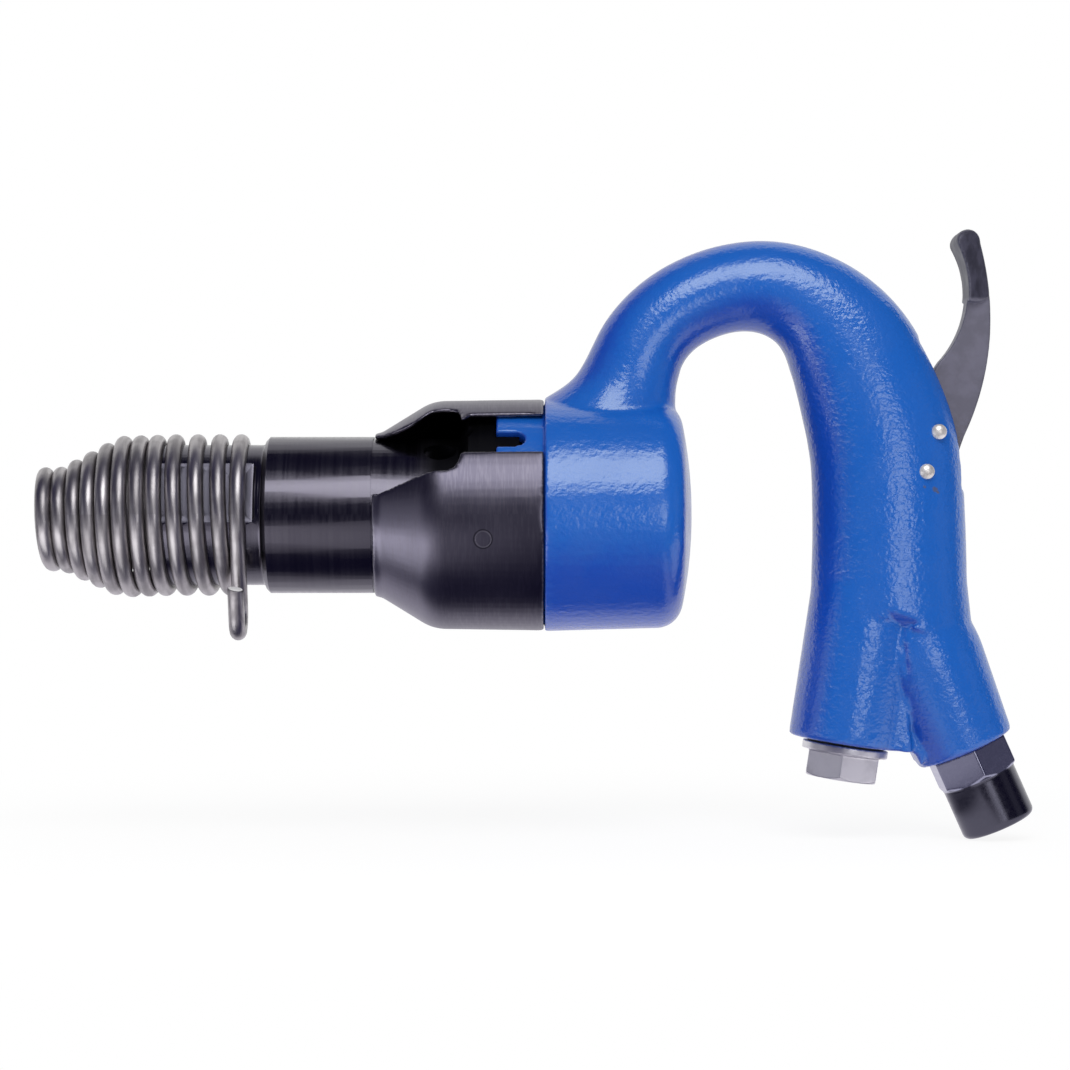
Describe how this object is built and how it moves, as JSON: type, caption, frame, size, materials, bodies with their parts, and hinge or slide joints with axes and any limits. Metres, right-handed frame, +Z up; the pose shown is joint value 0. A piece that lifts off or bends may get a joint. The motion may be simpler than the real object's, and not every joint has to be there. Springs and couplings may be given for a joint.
{
  "type": "pneumatic chisel hammer",
  "caption": "Pneumatic chisel hammer with a gooseneck handle, thumb lever, turning exhaust sleeve and a beehive spring that holds the chisel in its round socket.",
  "frame": {"origin": "mouth of the chisel bore, on the tool axis at the nose's front face", "axes": "+X along the tool axis from the chisel to the handle, +Z up towards the handle's arch, Y across, with the pictured side at -Y"},
  "size_m": [0.3037, 0.0708, 0.1853],
  "materials": {
    "blue_enamel": "gloss enamel over a sand-cast surface",
    "black_oxide": "black oxide, turned, oily gloss",
    "satin_black": "satin black",
    "spring_wire": "drawn wire, oil tempered",
    "hard_steel": "ground and hardened",
    "bright_steel": "bright satin",
    "lever_steel": "slate grey, fine grain",
    "bronze": "machined",
    "rubber": "matte"
  },
  "bodies": {
    "hammer": {"handle": "blue_enamel", "barrel": "black_oxide", "inlet_bushing": "black_oxide", "lock_ring": "black_oxide", "retainer_spring": "spring_wire", "throttle_spring": "spring_wire", "chisel_bushing": "hard_steel", "valve_case": "hard_steel", "valve_cover": "hard_steel", "valve_dowels": "hard_steel", "throttle_plug": "bright_steel", "lever_pin": "bright_steel", "stop_pin": "bright_steel", "push_rod_guide": "bronze", "throttle_seat": "bronze", "inlet_screen": "bronze", "push_rod_seal": "rubber", "plug_seal": "rubber"},
    "deflector": {"exhaust_deflector": "satin_black"},
    "piston": {"piston": "hard_steel"},
    "main_valve": {"main_valve": "hard_steel"},
    "lever": {"throttle_lever": "lever_steel"},
    "throttle": {"push_rod": "hard_steel", "throttle_valve": "hard_steel"}
  },
  "joints": [
    {"name": "lever_pull", "type": "hinge", "parent": "hammer", "child": "lever", "pos_m": [0.2364, 0, 0.02493], "axis": [0, -1, 0], "range_deg": [0, 14], "stiffness_Nm_per_rad": 0.6, "springref_deg": -17.19},
    {"name": "throttle_push", "type": "slide", "parent": "hammer", "child": "throttle", "axis": [-0.1478, 0, -0.989], "range_m": [0, 0.0031], "deforming": ["throttle_spring"]},
    {"name": "piston_stroke", "type": "slide", "parent": "hammer", "child": "piston", "axis": [1, 0, 0], "range_m": [0, 0.034]},
    {"name": "main_valve_shift", "type": "slide", "parent": "hammer", "child": "main_valve", "axis": [1, 0, 0], "range_m": [0, 0.0024]},
    {"name": "deflector_turn", "type": "hinge", "parent": "hammer", "child": "deflector", "pos_m": [0.0663, 0, 0], "axis": [1, 0, 0], "continuous": true}
  ],
  "couplings": [
    {"joint": "throttle_push", "follows": "lever_pull", "m_per_rad": 0.01231}
  ]
}
